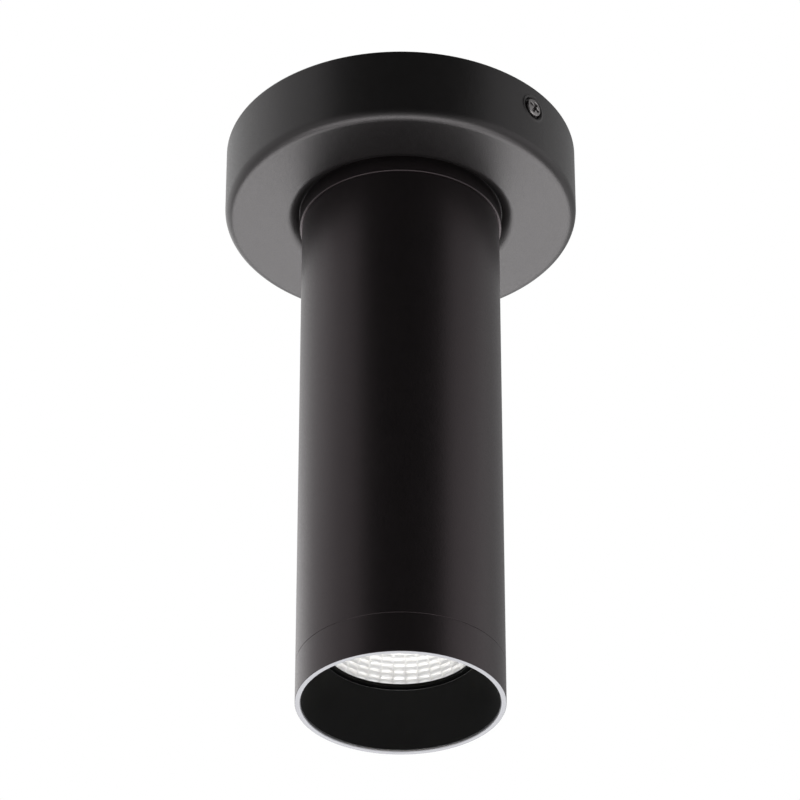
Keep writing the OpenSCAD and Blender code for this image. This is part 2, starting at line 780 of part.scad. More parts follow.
module led_board() color("gainsboro")
    block(led_board_w, led_board_w, sink_face + pad_t, sink_face + pad_t + led_board_t);

module led_emitter() color("khaki")
    disc(emitter_d / 2, sink_face + pad_t + led_board_t, emitter_face);

module led_holder() color("whitesmoke") difference() {
    disc(holder_r, sink_face, sink_face + holder_t);
    block(led_board_w + 2 * holder_pocket_gap, led_board_w + 2 * holder_pocket_gap,
          sink_face - cut, sink_face + holder_floor_t);
    translate([0, 0, -(sink_face + holder_t)]) cylinder(r1 = holder_cone_r, r2 = holder_mouth_r,
                                                      h = holder_t - holder_floor_t + 0.01);
    disc(holder_cone_r, sink_face + holder_t, sink_face + holder_t + cut);
    disc(holder_mouth_r, sink_face - cut, sink_face + holder_t);
    for (side = [-1, 1]) translate([side * holder_screw_r, 0, 0])
        disc(clear_r, sink_face - cut, sink_face + holder_t + cut);
}

module holder_screws() color("gray") for (side = [-1, 1])
    translate([side * holder_screw_r, 0, -(sink_face + holder_t)]) mirror([0, 0, 1])
        pan_screw(screw_d, holder_t + sink_base_t - 1, head_d, head_h);

// Height of the wires inside the ceiling cup
wire_level = block_top + block_h / 2;

function supply_route(side) = [
    [pole_x(poles - 1) * side, block_y + 4, -wire_level],
    [pole_x(poles - 1) * side, block_y - 4, -wire_level],
    [5 * side, 8, -wire_level],
    [2 * side, 2, -wire_level - 2],
    [1.25 * side, 0, -nipple_top],
    [1.25 * side, 0, -(nipple_top + nipple_bottom) / 2],
    [1.25 * side, 0, -nipple_bottom],
    [1.25 * side + 0.7, 0.5 * side, -case_top + 3],
    [1.25 * side + 1.3, 1.2 * side, -case_top - case_wall],
    [terminal_face + 6, terminal_pole_y * side, -input_depth + 3],
    [terminal_face + 3.5, terminal_pole_y * side, -input_depth],
    [terminal_face + 1, terminal_pole_y * side, -input_depth],
    [terminal_face - terminal_bore_l, terminal_pole_y * side, -input_depth]];

module live_wire() color("saddlebrown") wire(supply_route(1), supply_wire_d, [1, 0, 0]);

module neutral_wire() color("royalblue") wire(supply_route(-1), supply_wire_d, [1, 0, 0]);

module earth_wire() color("yellowgreen") wire([
    [0, block_y + 4, -wire_level],
    [0, block_y - 4, -wire_level],
    [-3, block_y - 7, -(bracket_t + 3.5)],
    [-earth_screw_x + 2, 7, -(bracket_t + 2.2)],
    [earth_wire_x, 2, -(bracket_t + 2.1)],
    [earth_wire_x, 0, -(bracket_t + 2.1)]], supply_wire_d, [1, 0, 0]);

module led_wires() for (side = [-1, 1]) color(side > 0 ? "firebrick" : "black") wire([
    [terminal_face - terminal_bore_l, terminal_pole_y * side, -output_depth],
    [terminal_face, terminal_pole_y * side, -output_depth],
    [terminal_face + 1, terminal_pole_y * side, -output_depth],
    [terminal_face + 2.5, terminal_pole_y * side, -output_depth - 0.3],
    [terminal_face + 5, (led_wire_y + terminal_pole_y) / 2 * side, -case_bottom + 4],
    [terminal_face + 5.5, led_wire_y * side, -case_bottom],
    [sink_wire_x / 3, led_wire_y * side, -(case_bottom + wire_lead)],
    [sink_wire_x * 3 / 4, led_wire_y * side, -(fins_top + wire_lead)],
    [sink_wire_x, led_wire_y * side, -(fins_top + 3 * wire_lead)],
    [sink_wire_x, led_wire_y * side, -base_top],
    [sink_wire_x, led_wire_y * side, -sink_face],
    [sink_wire_x - holder_room / 4, led_wire_y * side, -led_port_depth + 0.3],
    [holder_r + slip_fit, led_wire_y * side, -led_port_depth]], led_wire_d, [0, 1, 0]);

// Radius of the reflector's bright wall, t from 0 at the light source to 1 at its exit
function reflector_r(t) = entry_r + (exit_r - entry_r) * pow(t, 0.72);
function reflector_depth(t) = reflector_entry + reflector_h * t;

module reflector() color("white") {
    rows = [for (i = [0 : facet_rows]) i / facet_rows];
    flange_t = 1;
    inner = [for (t = rows) [reflector_r(t), reflector_depth(t)]];
    outer = [for (i = [facet_rows - 1 : -1 : 0])
        [reflector_r(rows[i]) + reflector_t, reflector_depth(rows[i])]];
    rim = [[optic_r, reflector_exit], [optic_r, reflector_exit - flange_t],
           [exit_r + reflector_t, reflector_exit - flange_t]];
    faceted_ring(concat(inner, rim, outer), facets_round);
}

module retainer_ring() color("#151515")
    ring(optic_r, exit_r, reflector_exit, throat);

module baffle() color("#202020") {
    edge = mouth - lip_chamfer;
    skirt_r = ring_bore_r - slip_fit;
    skirt_top = seam + shoulder_t;
    flare = (skirt_r - throat_r) / baffle_h;
    back = baffle_t + 0.1;
    meets = throat + (skirt_r - baffle_t - back - throat_r) / flare;
    turned([[skirt_r, edge], [throat_r, throat], [optic_r, throat], [optic_r, throat + baffle_t],
            [throat_r + flare * baffle_t + back, throat + baffle_t], [skirt_r - baffle_t, meets],
            [skirt_r - baffle_t, skirt_top], [skirt_r, skirt_top]]);
}

module front_ring() color("#1b1b1b") turned([
    [spigot_r, seam - ring_spigot], [spigot_r, seam], [tube_r, seam], [tube_r, mouth],
    [ring_bore_r + lip_chamfer, mouth], [ring_bore_r, mouth - lip_chamfer],
    [ring_bore_r, seam + shoulder_t], [ring_spigot_inner_r, seam + shoulder_t],
    [ring_spigot_inner_r, seam - ring_spigot]]);

mounting_bracket();
canopy();
canopy_screws();
terminal_block();
terminal_screws();
terminal_block_screw();
earth_screw();
earth_washer();
nipple();
nipple_nut();
lock_washer();
nipple_bush();
top_cap();
tube();
driver_bracket();
spacer_rods();
rod_top_screws();
rod_bottom_screws();
driver_case();
driver_lid();
driver_screws();
driver_board();
board_screws();
driver_transformer();
driver_capacitors();
driver_terminals();
heat_sink();
thermal_pad();
led_board();
led_emitter();
led_holder();
holder_screws();
live_wire();
neutral_wire();
earth_wire();
led_wires();
reflector();
retainer_ring();
baffle();
front_ring();
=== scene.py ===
import logging
import math
from dataclasses import dataclass, field
from enum import Enum

import bpy
import numpy as np
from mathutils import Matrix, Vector


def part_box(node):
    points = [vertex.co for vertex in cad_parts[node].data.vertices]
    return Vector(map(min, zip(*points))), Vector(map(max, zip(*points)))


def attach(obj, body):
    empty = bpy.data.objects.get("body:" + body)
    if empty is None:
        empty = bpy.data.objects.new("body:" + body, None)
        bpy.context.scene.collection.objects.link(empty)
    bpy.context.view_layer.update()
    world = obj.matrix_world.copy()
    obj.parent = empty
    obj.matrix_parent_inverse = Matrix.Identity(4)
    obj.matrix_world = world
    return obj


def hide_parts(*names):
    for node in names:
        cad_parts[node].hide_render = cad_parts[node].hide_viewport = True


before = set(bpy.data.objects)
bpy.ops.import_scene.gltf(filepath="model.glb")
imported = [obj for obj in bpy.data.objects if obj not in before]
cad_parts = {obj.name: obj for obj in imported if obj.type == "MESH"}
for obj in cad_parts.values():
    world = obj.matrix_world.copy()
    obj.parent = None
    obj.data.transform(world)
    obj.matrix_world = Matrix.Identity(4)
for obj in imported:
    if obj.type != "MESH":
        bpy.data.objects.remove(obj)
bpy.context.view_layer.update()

MM = 0.001
log = logging.getLogger("downlight")

# Least length that a normal is divided by
TINY = 1e-12
# The values between which most of Blender's noise lies
NOISE_LOW, NOISE_HIGH = 0.3, 0.7
# Width of the colour mottle, in grains
MOTTLE_GRAINS = 12
# Wall of the tube, and the gap round what fits into it, in millimetres
TUBE_WALL = 2.0
FIT = 0.05
# Radius of a broken edge, and of the softer ones at the seam and the mouth, in millimetres
EDGE_BREAK = 0.1
SOFT_EDGE = 0.18


class Body(Enum):
    """The three rigid bodies that the pieces ride on."""

    LAMP = "lamp_body"
    OPTIC = "optic"
    RING = "screw_ring"


def linear(hex_colour: str) -> tuple[float, float, float, float]:
    """Turns an sRGB hex colour into linear values, by the curve of the sRGB standard.

    Args:
        hex_colour: Six hexadecimal digits after a hash sign.

    Returns:
        Red, green, blue and alpha, linear.
    """
    srgb = np.array([int(hex_colour[i:i + 2], 16) for i in (1, 3, 5)]) / 255.0
    value = np.where(srgb <= 0.04045, srgb / 12.92, ((srgb + 0.055) / 1.055) ** 2.4)
    return (float(value[0]), float(value[1]), float(value[2]), 1.0)


def add_node(tree: bpy.types.NodeTree, kind: str, settings: dict | None = None,
             links: dict | None = None) -> bpy.types.Node:
    """Adds one shader node.

    Args:
        tree: The node tree it goes into.
        kind: The node's type, without the ShaderNode in front.
        settings: Attributes of the node, or values of its inputs by name or number.
        links: Output sockets to link to its inputs, by the input's name or number.

    Returns:
        The new node.
    """
    node = tree.nodes.new("ShaderNode" + kind)
    for name, value in (settings or {}).items():
        if isinstance(name, str) and hasattr(node, name):
            setattr(node, name, value)
        else:
            node.inputs[name].default_value = value
    for name, socket in (links or {}).items():
        tree.links.new(socket, node.inputs[name])
    return node


@dataclass(frozen=True)
class Finish:
    """A surface finish: a base colour with a slight mottle, a roughness and a fine grain.

    The grain is noise on object coordinates. Its size is the real spacing of the surface's bumps in
    millimetres, drawn somewhat coarser where the real one would be lost in the render.

    Attributes:
        name: The material's name.
        colour: The base colour, sRGB.
        roughness: The middle roughness.
        metallic: 1 for bare metal, 0 for coats and plastics.
        specular: Level of the gloss.
        grain_mm: Spacing of the grain.
        bump_mm: Height of the grain.
        mottle: Share by which the base colour varies.
        roughness_spread: How far the roughness varies.
        glow: Strength of its own light.
        tint: Colour of the gloss seen head on, sRGB.
        cover: Its opacity.
    """

    name: str
    colour: str
    roughness: float
    metallic: float = 0.0
    specular: float = 0.5
    grain_mm: float = 0.4
    bump_mm: float = 0.01
    mottle: float = 0.12
    roughness_spread: float = 0.06
    glow: float = 0.0
    tint: str = "#ffffff"
    cover: float = 1.0

    def coordinates(self, tree: bpy.types.NodeTree) -> bpy.types.NodeSocket:
        """Returns object coordinates in metres."""
        return add_node(tree, "TexCoord").outputs["Object"]

    def base_colour(self, tree: bpy.types.NodeTree, shader: bpy.types.Node,
                    place: bpy.types.NodeSocket) -> None:
        """Mottles the base colour with noise about twelve grains wide.

        Args:
            tree: The material's nodes.
            shader: The principled shader that takes the colour.
            place: Object coordinates.
        """
        tone = np.array(linear(self.colour)[:3])
        scale = 1 / (MOTTLE_GRAINS * self.grain_mm * MM)
        cloud = add_node(tree, "TexNoise", {"Scale": scale, "Detail": 3.0}, {"Vector": place})
        ramp = add_node(tree, "ValToRGB", {}, {"Fac": cloud.outputs["Fac"]})
        for element, factor in zip(ramp.color_ramp.elements, (1 - self.mottle, 1 + self.mottle)):
            element.color = (*np.clip(tone * factor, 0, 1), 1.0)
        ramp.color_ramp.elements[0].position = NOISE_LOW
        ramp.color_ramp.elements[1].position = NOISE_HIGH
        tree.links.new(ramp.outputs["Color"], shader.inputs["Base Color"])

    def surface(self, tree: bpy.types.NodeTree, shader: bpy.types.Node,
                place: bpy.types.NodeSocket) -> None:
        """Varies the roughness and raises the grain.

        Args:
            tree: The material's nodes.
            shader: The principled shader that takes the roughness and normal.
            place: Object coordinates.
        """
        grain = add_node(tree, "TexNoise", {"Scale": 1 / (self.grain_mm * MM), "Detail": 4.0,
                                            "Roughness": 0.6}, {"Vector": place})
        spread = add_node(tree, "MapRange", {"From Min": NOISE_LOW, "From Max": NOISE_HIGH,
                                             "To Min": self.roughness - self.roughness_spread,
                                             "To Max": self.roughness + self.roughness_spread},
                          {"Value": grain.outputs["Fac"]})
        tree.links.new(spread.outputs["Result"], shader.inputs["Roughness"])
        bump = add_node(tree, "Bump", {"Strength": 1.0, "Distance": self.bump_mm * MM},
                        {"Height": grain.outputs["Fac"]})
        tree.links.new(bump.outputs["Normal"], shader.inputs["Normal"])

    def material(self) -> bpy.types.Material:
        """Builds the material, unless it is there already.

        Returns:
            The material.
        """
        made = bpy.data.materials.get(self.name)
        if made:
            return made
        made = bpy.data.materials.new(self.name)
        made.use_nodes = True
        tree = made.node_tree
        shader = tree.nodes["Principled BSDF"]
        shader.inputs["Metallic"].default_value = self.metallic
        shader.inputs["Specular IOR Level"].default_value = self.specular
        shader.inputs["Specular Tint"].default_value = linear(self.tint)
        shader.inputs["Alpha"].default_value = self.cover
        if self.glow:
            shader.inputs["Emission Color"].default_value = linear(self.colour)
            shader.inputs["Emission Strength"].default_value = self.glow
        place = self.coordinates(tree)
        self.base_colour(tree, shader, place)
        self.surface(tree, shader, place)
        return made


@dataclass(frozen=True)
class TurnedMetal(Finish):
    """Bare metal from the lathe: fine rings round the Z axis, as the tool's feed leaves them.

    Attributes:
        drift: How much the rings change across the piece, as a share of how they change along the radius.
    """

    drift: float = 0.02

    def coordinates(self, tree: bpy.types.NodeTree) -> bpy.types.NodeSocket:
        """Finds coordinates that change with the radius and hardly with the angle.

        Args:
            tree: The material's nodes.

        Returns:
            The socket that gives radius, a slow drift and height.
        """
        place = add_node(tree, "TexCoord").outputs["Object"]
        flat = add_node(tree, "VectorMath", {"operation": "MULTIPLY", 1: (1.0, 1.0, 0.0)}, {0: place})
        radius = add_node(tree, "VectorMath", {"operation": "LENGTH"}, {0: flat.outputs["Vector"]})
        split = add_node(tree, "SeparateXYZ", {}, {"Vector": place})
        slow = add_node(tree, "Math", {"operation": "MULTIPLY", 1: self.drift}, {0: split.outputs["X"]})
        return add_node(tree, "CombineXYZ", {}, {"X": radius.outputs["Value"], "Y": slow.outputs["Value"],
                                                "Z": split.outputs["Z"]}).outputs["Vector"]


@dataclass(frozen=True)
class TwoColours(Finish):
    """Insulation in two colours, split by the sign of a sum of object coordinates.

    The split follows a wave along the weights' direction, or their plane where the pitch is zero.

    Attributes:
        second: The other colour, sRGB.
        weights: Weights of X, Y and Z in the sum.
        pitch_mm: Length of the wave, or 0 for one plain split.
    """

    second: str = "#000000"
    weights: tuple[float, float, float] = (0.0, 1.0, 0.0)
    pitch_mm: float = 0.0

    def base_colour(self, tree: bpy.types.NodeTree, shader: bpy.types.Node,
                    place: bpy.types.NodeSocket) -> None:
        """Picks one of the two colours for each point.

        Args:
            tree: The material's nodes.
            shader: The principled shader that takes the colour.
            place: Object coordinates.
        """
        along = add_node(tree, "VectorMath", {"operation": "DOT_PRODUCT", 1: self.weights}, {0: place})
        value = along.outputs["Value"]
        if self.pitch_mm:
            turns = add_node(tree, "Math", {"operation": "MULTIPLY", 1: 2 * math.pi / (self.pitch_mm * MM)},
                             {0: value})
            wave = add_node(tree, "Math", {"operation": "SINE"}, {0: turns.outputs["Value"]})
            value = wave.outputs["Value"]
        side = add_node(tree, "Math", {"operation": "GREATER_THAN", 1: 0.0}, {0: value})
        mix = add_node(tree, "MixRGB", {1: linear(self.second), 2: linear(self.colour)},
                       {0: side.outputs["Value"]})
        tree.links.new(mix.outputs["Color"], shader.inputs["Base Color"])


# Satin powder coat on the pressed cup: near black, slightly warm, with a fine even grain and a soft gloss; a
# shade lighter than on the tube, which paints light on the cup
CUP_COAT = Finish("powder_coated_steel", "#0e0d0d", 0.38, specular=0.55, grain_mm=0.45, bump_mm=0.035,
                  tint="#fff9fb")
# The same coat on the turned aluminium of the tube, cap and ring, a little darker and warmer: the cup's
# lighter tone is painted light
TUBE_COAT = Finish("powder_coated_aluminium", "#0c0b0b", 0.38, specular=0.53, grain_mm=0.45, bump_mm=0.03,
                   tint="#ffe9f0")
# Blackened zinc on the screws: a grey metal, a little smoother than the coat
BLACK_ZINC = Finish("black_zinc", "#858282", 0.36, metallic=1.0, grain_mm=0.2, bump_mm=0.004)
# Moulded matt black plastic that swallows stray light
MATT_MOULDED = Finish("matt_moulded_black", "#080808", 0.6, specular=0.12, grain_mm=0.3, bump_mm=0.012)
# The same plastic, glossier and a shade lighter, on the edge of the cone's throat: a thin bright line,
# partly real gloss and partly a painted highlight in its lighter tone
MOULDED_PAINTED_HIGHLIGHT = Finish("glossy_black_painted_highlight", "#161616", 0.22, specular=0.6, grain_mm=0.3, bump_mm=0.002)
# The same plastic on the reflector's seat, deep in the mouth: darker, as painted shade, and with almost no
# gloss
MOULDED_PAINTED_SHADE = Finish("moulded_black_painted_shade", "#030303", 0.5, specular=0.05, grain_mm=0.3, bump_mm=0.004)
# Bare turned aluminium on the lip: pale grey with fine rings
BARE_LIP = TurnedMetal("turned_aluminium", "#7f7f82", 0.5, metallic=1.0, grain_mm=0.25, bump_mm=0.004,
                       mottle=0.04)
# Metallised reflector under a clear lacquer: half metal, half white, soft mirror facets
BRIGHT_FACETS = Finish("bright_facets", "#f7f7f8", 0.22, metallic=0.55, grain_mm=0.5,
                       bump_mm=0.001, mottle=0.01, roughness_spread=0.03)
# Extruded aluminium left bare: pale grey, faint grain
RAW_ALUMINIUM = Finish("raw_aluminium", "#b9bcc0", 0.38, metallic=1.0, grain_mm=0.4, bump_mm=0.006,
                       mottle=0.05)
# Bright zinc on pressed steel: cool grey with a broken spangle
ZINC_STEEL = Finish("bright_zinc_steel", "#aeb2b6", 0.3, metallic=1.0, grain_mm=0.6, bump_mm=0.005,
                    mottle=0.1, roughness_spread=0.1)
# Turned brass: warm yellow metal
BRASS = Finish("turned_brass", "#c9a45c", 0.27, metallic=1.0, grain_mm=0.3, bump_mm=0.004, mottle=0.06)
# White ABS from a fine-eroded mould: slightly warm, silky
WHITE_ABS = Finish("moulded_white_abs", "#dedcd6", 0.45, grain_mm=0.25, bump_mm=0.006, mottle=0.03)
# Translucent polyamide of the clamps: ivory, waxy
IVORY_POLYAMIDE = Finish("ivory_polyamide", "#d9d2ba", 0.4, grain_mm=0.5, bump_mm=0.004, mottle=0.05)
# Solder resist over a glass-fibre board: deep green, glossy
GREEN_BOARD = Finish("green_solder_resist", "#1f6b3e", 0.25, grain_mm=0.6, bump_mm=0.004, mottle=0.15)
# Polyester tape round the transformer: yellow, glossy
YELLOW_TAPE = Finish("yellow_polyester_tape", "#d8a92a", 0.3, grain_mm=0.8, bump_mm=0.01, mottle=0.08)
# Shrunk sleeve of the capacitors: dark blue, glossy
BLUE_SLEEVE = Finish("shrunk_blue_sleeve", "#1a2548", 0.25, grain_mm=0.8, bump_mm=0.004)
# Silicone heat pad: pale blue, dull
BLUE_SILICONE = Finish("silicone_heat_pad", "#8fa6b8", 0.7, grain_mm=0.3, bump_mm=0.01)
# White solder mask of the light-source board
WHITE_BOARD = Finish("white_solder_mask", "#e6e6e1", 0.35, grain_mm=0.4, bump_mm=0.003, mottle=0.03)
# Phosphor under silicone: pale warm yellow, lit
PHOSPHOR = Finish("phosphor_silicone", "#fff1c4", 0.3, grain_mm=0.3, bump_mm=0.004, mottle=0.03, glow=4.4)
# PVC insulation of the supply wires
BROWN_PVC = Finish("brown_pvc", "#5a3320", 0.35, grain_mm=0.5, bump_mm=0.004)
BLUE_PVC = Finish("blue_pvc", "#2f5f9e", 0.35, grain_mm=0.5, bump_mm=0.004)
GREEN_YELLOW_PVC = TwoColours("green_yellow_pvc", "#d8c72e", 0.35, grain_mm=0.5, bump_mm=0.004,
                              second="#3f7d2c", weights=(0.7, 0.7, 0.5), pitch_mm=3.0)
# Silicone insulation of the two wires to the light source
RED_BLACK_SILICONE = TwoColours("red_black_silicone", "#a3201a", 0.5, grain_mm=0.5, bump_mm=0.004,
                                second="#1b1b1b")
# Black cloth of the flag: no gloss
FLAG_CLOTH = Finish("black_cloth", "#2a2a2a", 0.9, specular=0.0, grain_mm=2.0, bump_mm=0.1,
                    roughness_spread=0.05)
# Thin black scrim: passes about half of what is behind it
SCRIM = Finish("black_scrim", "#050505", 0.9, specular=0.0, grain_mm=2.0, bump_mm=0.1, roughness_spread=0.05,
               cover=0.5)
# A thinner one, which passes most of it
THIN_SCRIM = Finish("thin_black_scrim", "#050505", 0.9, specular=0.0, grain_mm=2.0, bump_mm=0.1,
                    roughness_spread=0.05, cover=0.3)
# Pale paper floor
FLOOR_PAPER = Finish("pale_paper", "#e8e8e8", 0.8, grain_mm=4.0, bump_mm=0.05, mottle=0.01)


@dataclass(frozen=True)
class Corner:
    """One corner of a turned outline, in millimetres.

    Attributes:
        radius: Its distance from the axis.
        depth: Its distance below the ceiling.
        fillet: The radius that rounds it.
    """

    radius: float
    depth: float
    fillet: float = 0.15


def rounded_outline(corners: list[Corner], steps: int = 5) -> np.ndarray:
    """Rounds each corner of a closed outline with an arc.

    At a corner with the angle a between its two edges, an arc of radius f touches them at the distance
    f / tan(a / 2) from the corner, and its centre lies on the bisector at f / sin(a / 2).

    Args:
        corners: The corners in order.
        steps: Steps in each arc.

    Returns:
        Points of [radius, z] in metres, one row each.
    """
    places = np.array([[c.radius, -c.depth] for c in corners])
    arcs = []
    for i, corner in enumerate(corners):
        here = places[i]
        to_last = places[i - 1] - here
        to_next = places[(i + 1) % len(corners)] - here
        to_last = to_last / np.linalg.norm(to_last)
        to_next = to_next / np.linalg.norm(to_next)
        half = math.acos(float(np.clip(to_last @ to_next, -1, 1))) / 2
        bisector = (to_last + to_next) / np.linalg.norm(to_last + to_next)
        centre = here + bisector * corner.fillet / math.sin(half)
        start = here + to_last * corner.fillet / math.tan(half) - centre
        end = here + to_next * corner.fillet / math.tan(half) - centre
        share = np.linspace(0, 1, steps + 1)[:, None]
        sweep = math.pi - 2 * half
        swing = np.sin((1 - share) * sweep) * start + np.sin(share * sweep) * end
        arcs.append(centre + swing / math.sin(sweep))
    return np.concatenate(arcs) * MM


def even_angles(count: int) -> np.ndarray:
    """Returns count angles spaced evenly round the circle."""
    return np.arange(count) * 2 * math.pi / count


def turned_grid(outline: np.ndarray, angles: np.ndarray) -> np.ndarray:
    """Carries an outline round the Z axis: x = r cos(a), y = r sin(a), z = z.

    Args:
        outline: Points of [radius, z], one row each.
        angles: The angles, in radians.

    Returns:
        A grid of points, angles first and outline second.
    """
    r, z = outline[None, :, 0], outline[None, :, 1]
    a = angles[:, None]
    return np.stack([r * np.cos(a), r * np.sin(a), z + 0 * a], axis=-1)


def grid_normals(grid: np.ndarray, outward: float) -> np.ndarray:
    """Normals of a grid closed both ways: the cross product of its central differences.

    Args:
        grid: The points.
        outward: 1 or -1, whichever turns the normals out.

    Returns:
        Unit normals on the same grid.
    """
    du = np.roll(grid, -1, 0) - np.roll(grid, 1, 0)
    dv = np.roll(grid, -1, 1) - np.roll(grid, 1, 1)
    normal = np.cross(du, dv) * outward
    return normal / np.maximum(np.linalg.norm(normal, axis=-1, keepdims=True), TINY)


def grid_volume(grid: np.ndarray) -> float:
    """Signed volume inside a grid closed both ways: a sixth of the sum of p . (q x r) over its halves.

    Args:
        grid: The points.

    Returns:
        The volume, above zero where the faces look out.
    """
    a, b = grid, np.roll(grid, -1, 0)
    c, d = np.roll(b, -1, 1), np.roll(grid, -1, 1)
    first = np.einsum("ijk,ijk->", a, np.cross(b, c))
    second = np.einsum("ijk,ijk->", a, np.cross(c, d))
    return float(first + second) / 6


def grid_piece(name: str, grids: list[np.ndarray], finishes: list[Finish], body: Body, replaced: str,
               finish_of: np.ndarray | None = None, smooth: bool = True) -> bpy.types.Object:
    """Makes one piece from grids of equal size, each closed both ways, and hangs it on a body.

    Smooth pieces take the grids' own normals.

    Args:
        name: The piece's name.
        grids: Points of each shell, angles first and outline second.
        finishes: Its finishes.
        body: The body that it rides on.
        replaced: The CAD node that it stands for.
        finish_of: Number of the finish for each step of the outline, or None for the first.
        smooth: Whether its faces are shaded smooth.

    Returns:
        The new object.
    """
    shells = np.stack(grids)
    around, along = shells.shape[1:3]
    outward = np.array([1.0 if grid_volume(grid) > 0 else -1.0 for grid in grids])
    number = np.arange(around * along).reshape(around, along)
    quads = np.stack([number, np.roll(number, -1, 0), np.roll(np.roll(number, -1, 0), -1, 1),
                      np.roll(number, -1, 1)], axis=-1).reshape(-1, 4)
    faces = np.concatenate([(quads if way > 0 else quads[:, ::-1]) + i * around * along
                            for i, way in enumerate(outward)])
    mesh = bpy.data.meshes.new(name)
    mesh.from_pydata(shells.reshape(-1, 3), [], faces.tolist())
    for finish in finishes:
        mesh.materials.append(finish.material())
    if finish_of is not None:
        chosen = np.broadcast_to(finish_of[None, None, :], (len(grids), around, along)).astype(np.int32)
        mesh.polygons.foreach_set("material_index", np.ascontiguousarray(chosen).ravel())
    mesh.polygons.foreach_set("use_smooth", np.full(len(faces), smooth))
    mesh.update()
    if smooth:
        normals = np.stack([grid_normals(grid, way) for grid, way in zip(grids, outward)])
        mesh.normals_split_custom_set_from_vertices(normals.reshape(-1, 3))
    piece = bpy.data.objects.new(name, mesh)
    bpy.context.scene.collection.objects.link(piece)
    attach(piece, body.value)
    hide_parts(replaced)
    log.info("%s: %d faces on %s", name, len(mesh.polygons), body.value)
    return piece


def smooth_step(low: float, high: float, value: np.ndarray) -> np.ndarray:
    """Rises from 0 at low to 1 at high as 3 t^2 - 2 t^3."""
    t = np.clip((value - low) / (high - low), 0, 1)
    return t * t * (3 - 2 * t)


def node_radius(node: str) -> float:
    """Half of a node's widest side across the axis, in millimetres."""
    low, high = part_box(node)
    return max(high.x - low.x, high.y - low.y) / 2 / MM


def node_depths(node: str) -> tuple[float, float]:
    """Depths of a node's upper and lower end below the ceiling, in millimetres."""
    low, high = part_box(node)
    return -high.z / MM, -low.z / MM


